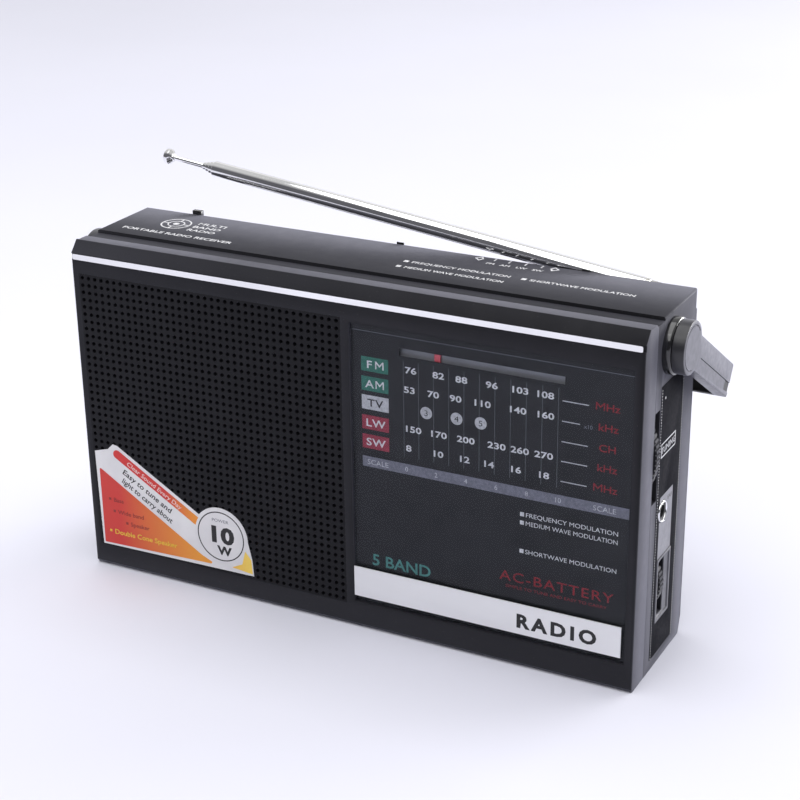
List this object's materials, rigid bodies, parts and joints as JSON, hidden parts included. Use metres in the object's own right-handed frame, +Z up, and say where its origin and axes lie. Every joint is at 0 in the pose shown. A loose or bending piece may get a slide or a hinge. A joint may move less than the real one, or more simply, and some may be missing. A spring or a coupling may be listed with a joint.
{
  "type": "portable radio",
  "caption": "Portable world-band radio: flat black case with a pierced speaker panel, dial window, edge wheels, folding handle and telescopic aerial.",
  "frame": {"origin": "middle of the case's footprint, on the surface it stands on", "axes": "+X to the right of someone facing the dial, +Y to the back, +Z up"},
  "size_m": [0.2396, 0.0728, 0.1561],
  "materials": {
    "case_plastic": "fine moulded texture, near black",
    "gloss_black": "gloss black",
    "bright_trim": "bright",
    "smoked_window": "smoked clear",
    "dial_print": "printed scale",
    "silver_foil": "satin silver",
    "rail_grey": "grey",
    "pointer_red": "red",
    "label_film": "dark grey film",
    "nickel": "nickel plated",
    "cloth": "woven dust cloth",
    "foam": "closed foam",
    "zinc_steel": "zinc plated",
    "cone_paper": "pressed paper",
    "ferrite": "sintered, dark grey",
    "board_resin": "phenolic board",
    "capacitor_film": "translucent white",
    "copper_winding": "lacquered winding",
    "can_metal": "tinned can",
    "sleeve": "printed sleeve",
    "chip_resin": "moulded resin",
    "cell_jacket": "plain printed jacket",
    "spring_steel": "nickel plated",
    "cord_nylon": "braided nylon",
    "label_paper": "glossy printed paper",
    "nylon": "natural nylon"
  },
  "bodies": {
    "case": {"front_case": "case_plastic", "rear_case": "case_plastic", "speaker_grille": "case_plastic", "chrome_trim": "bright_trim", "dial_window": "smoked_window", "dial_plate": "dial_print", "name_strip": "silver_foil", "pointer_rail": "rail_grey", "side_panel": "label_film", "volume_bezel": "gloss_black", "jack_ring": "nickel", "jack_body": "chip_resin", "speaker_cloth": "cloth", "speaker_gasket": "foam", "speaker_basket": "zinc_steel", "speaker_cone": "cone_paper", "speaker_magnet": "ferrite", "tuning_capacitor": "capacitor_film", "volume_control": "chip_resin", "dial_cord": "cord_nylon", "cord_pulleys": "nylon", "main_board": "board_resin", "intermediate_transformers": "can_metal", "electrolytic_capacitors": "sleeve", "amplifier_chip": "chip_resin", "heat_sink": "can_metal", "ferrite_rod": "ferrite", "ferrite_coils": "copper_winding", "rod_holders": "nylon", "band_switch_body": "can_metal", "transformer_core": "zinc_steel", "transformer_winding": "copper_winding", "mains_inlet": "chip_resin", "inlet_pins": "nickel", "battery_tray": "case_plastic", "battery_cells": "cell_jacket", "battery_contacts": "spring_steel", "handle_bosses": "gloss_black", "handle_pins": "nickel", "aerial_bracket": "case_plastic", "aerial_clip": "case_plastic", "case_screws": "zinc_steel", "small_screws": "zinc_steel", "sticker": "label_paper"},
    "tuner": {"tuning_wheel": "case_plastic", "tuning_shaft": "nickel"},
    "pointer_carriage": {"pointer": "pointer_red"},
    "volume": {"volume_wheel": "case_plastic"},
    "band_selector": {"band_switch_knob": "gloss_black"},
    "battery_door": {"battery_cover": "case_plastic"},
    "handle": {"handle_arm_left": "gloss_black", "handle_arm_right": "gloss_black", "handle_grip": "gloss_black"},
    "aerial_base": {"aerial_swivel": "nickel"},
    "aerial_1": {"aerial_knuckle": "nickel", "aerial_tube_1": "bright_trim"},
    "aerial_2": {"aerial_tube_2": "bright_trim"},
    "aerial_3": {"aerial_tube_3": "bright_trim"},
    "aerial_4": {"aerial_tube_4": "bright_trim"},
    "aerial_5": {"aerial_rod": "bright_trim"}
  },
  "joints": [
    {"name": "tuning_turn", "type": "hinge", "parent": "case", "child": "tuner", "pos_m": [0.0885, 0, 0.0835], "axis": [0, 1, 0], "range_deg": [-40.5, 139.5]},
    {"name": "pointer_slide", "type": "slide", "parent": "case", "child": "pointer_carriage", "axis": [1, 0, 0], "range_m": [-0.0136, 0.0466]},
    {"name": "volume_turn", "type": "hinge", "parent": "case", "child": "volume", "pos_m": [0.0998, 0, 0.031], "axis": [0, 1, 0], "range_deg": [0, 270]},
    {"name": "band_slide", "type": "slide", "parent": "case", "child": "band_selector", "axis": [1, 0, 0], "range_m": [0, 0.0181]},
    {"name": "battery_door_open", "type": "hinge", "parent": "case", "child": "battery_door", "pos_m": [0, 0.0245, 0.0065], "axis": [-1, 0, 0], "range_deg": [0, 80]},
    {"name": "handle_swing", "type": "hinge", "parent": "case", "child": "handle", "pos_m": [0, 0, 0.1203], "axis": [1, 0, 0], "range_deg": [-17.5, 261.5]},
    {"name": "aerial_turn", "type": "hinge", "parent": "case", "child": "aerial_base", "pos_m": [0.0975, 0.0278, 0.12863], "axis": [0, 0, -1], "range_deg": [0, 180]},
    {"name": "aerial_tilt", "type": "hinge", "parent": "aerial_base", "child": "aerial_1", "pos_m": [0.0975, 0.0278, 0.12863], "axis": [0, 1, 0], "range_deg": [-6.96, 84]},
    {"name": "aerial_slide_2", "type": "slide", "parent": "aerial_1", "child": "aerial_2", "axis": [-0.9926, 0, 0.1212], "range_m": [0, 0.155]},
    {"name": "aerial_slide_3", "type": "slide", "parent": "aerial_2", "child": "aerial_3", "axis": [-0.9926, 0, 0.1212], "range_m": [0, 0.155]},
    {"name": "aerial_slide_4", "type": "slide", "parent": "aerial_3", "child": "aerial_4", "axis": [-0.9926, 0, 0.1212], "range_m": [0, 0.155]},
    {"name": "aerial_slide_5", "type": "slide", "parent": "aerial_4", "child": "aerial_5", "axis": [-0.9926, 0, 0.1212], "range_m": [-0.009, 0.14]}
  ],
  "couplings": [
    {"joint": "pointer_slide", "follows": "tuning_turn", "m_per_rad": 0.0191}
  ]
}
